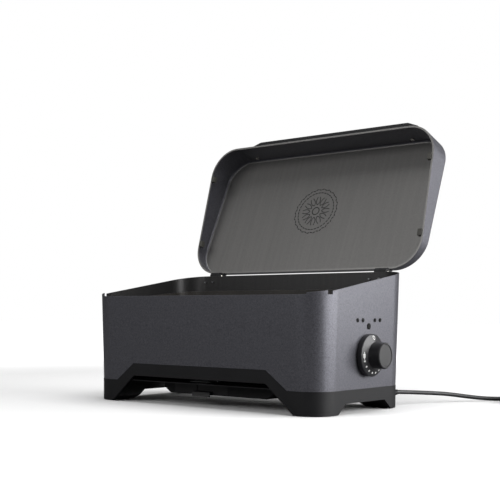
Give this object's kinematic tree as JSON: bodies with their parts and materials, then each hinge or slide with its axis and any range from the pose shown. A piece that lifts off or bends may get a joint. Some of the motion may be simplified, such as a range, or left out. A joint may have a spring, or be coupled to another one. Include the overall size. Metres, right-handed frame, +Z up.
{
  "type": "electric griddle",
  "caption": "Electric griddle with a tall tapered housing, hinged wedge lid, side dial, under-body drip drawer and free power cord.",
  "frame": {"origin": "on the table, under the middle of the body's rim", "axes": "+Z up, -Y towards the front, +X towards the side with the dial"},
  "size_m": [0.7341, 0.529, 0.5238],
  "materials": {
    "black_moulding": "fine matt texture, moulded heat-resistant plastic",
    "foot_rubber": "matt moulded rubber",
    "bumper_rubber": "grey heat-resistant silicone rubber",
    "grey_paint": "satin grey metallic paint on steel sheet",
    "zinc_sheet": "zinc-plated steel sheet",
    "zinc_screw": "zinc-plated steel",
    "nonstick_plate": "cast aluminium with a dark non-stick coat",
    "aluminised_sheet": "aluminised steel sheet",
    "heater_sheath": "oxidised heater sheath",
    "thermostat_ceramic": "matt glazed ceramic",
    "dial_plastic": "satin grey moulded plastic with white marks",
    "knob_plastic": "satin dark moulded plastic",
    "lamp_lens": "smoked moulded lens, black until its lamp is lit",
    "led_resin": "moulded resin",
    "circuit_board": "solder mask on glass-fibre board",
    "drawer_plastic": "satin moulded plastic",
    "bright_screw": "bright nickel plate",
    "black_steel": "black powder coat on steel",
    "bush_nylon": "moulded nylon",
    "terminal_plastic": "moulded nylon",
    "lead_sleeve": "braided glass-fibre sleeve",
    "sensor_copper": "drawn copper capillary",
    "cord_rubber": "satin black flexible jacket",
    "tie_plastic": "smooth moulded strip",
    "pin_brass": "nickel-plated brass"
  },
  "bodies": {
    "body": {"base_skirt": "black_moulding", "foot_pad_front_left": "foot_rubber", "foot_pad_front_right": "foot_rubber", "foot_pad_rear_left": "foot_rubber", "foot_pad_rear_right": "foot_rubber", "housing_shell": "grey_paint", "bottom_plate": "black_steel", "base_screws": "zinc_screw", "plate_bracket_front_left": "zinc_sheet", "plate_bracket_front_right": "zinc_sheet", "plate_bracket_rear_left": "zinc_sheet", "plate_bracket_rear_right": "zinc_sheet", "reflector_pan": "aluminised_sheet", "heating_element": "heater_sheath", "element_clips": "zinc_sheet", "drain_chute": "aluminised_sheet", "thermostat_bracket": "zinc_sheet", "thermostat_screws": "zinc_screw", "thermostat": "thermostat_ceramic", "status_lens_1": "lamp_lens", "status_lens_2": "lamp_lens", "status_lens_3": "lamp_lens", "status_lens_4": "lamp_lens", "power_lens": "lamp_lens", "indicator_leds": "led_resin", "indicator_board": "circuit_board", "drawer_housing": "black_moulding", "hinge_bracket_left": "black_steel", "hinge_bracket_right": "black_steel", "hinge_pin_left": "bright_screw", "hinge_pin_right": "bright_screw", "hinge_screws": "zinc_screw", "terminal_block": "terminal_plastic", "thermal_cutout": "thermostat_ceramic", "neutral_lead": "lead_sleeve", "live_lead": "lead_sleeve", "element_lead": "lead_sleeve", "thermostat_sensor": "sensor_copper", "strain_relief": "cord_rubber", "power_cord": "cord_rubber", "cord_coil": "cord_rubber", "cord_tie": "tie_plastic", "plug_body": "cord_rubber", "plug_pins": "pin_brass"},
    "lid": {"lid_shell": "grey_paint", "lid_handle": "black_moulding", "handle_screws": "bright_screw", "lid_bumpers": "bumper_rubber", "lid_hinge_left": "black_steel", "lid_hinge_right": "black_steel", "hinge_bush_left": "bush_nylon", "hinge_bush_right": "bush_nylon"},
    "dial": {"thermostat_shaft": "zinc_screw", "dial_skirt": "dial_plastic", "dial_knob": "knob_plastic"},
    "drawer": {"drip_drawer": "drawer_plastic", "drawer_grip": "drawer_plastic"},
    "plate": {"griddle_plate": "nonstick_plate"}
  },
  "joints": [
    {"name": "lid_hinge", "type": "hinge", "parent": "body", "child": "lid", "pos_m": [0, 0.1475, 0.234], "axis": [1, 0, 0], "range_deg": [0, 114.4]},
    {"name": "dial_turn", "type": "hinge", "parent": "body", "child": "dial", "pos_m": [0.2, 0.0067, 0.092], "axis": [-1, 0, 0], "range_deg": [0, 250]},
    {"name": "drawer_slide", "type": "slide", "parent": "body", "child": "drawer", "axis": [0, -1, 0], "range_m": [0, 0.13]},
    {"name": "plate_lift", "type": "slide", "parent": "body", "child": "plate", "axis": [0, 0, 1], "range_m": [0, 0.03]}
  ]
}
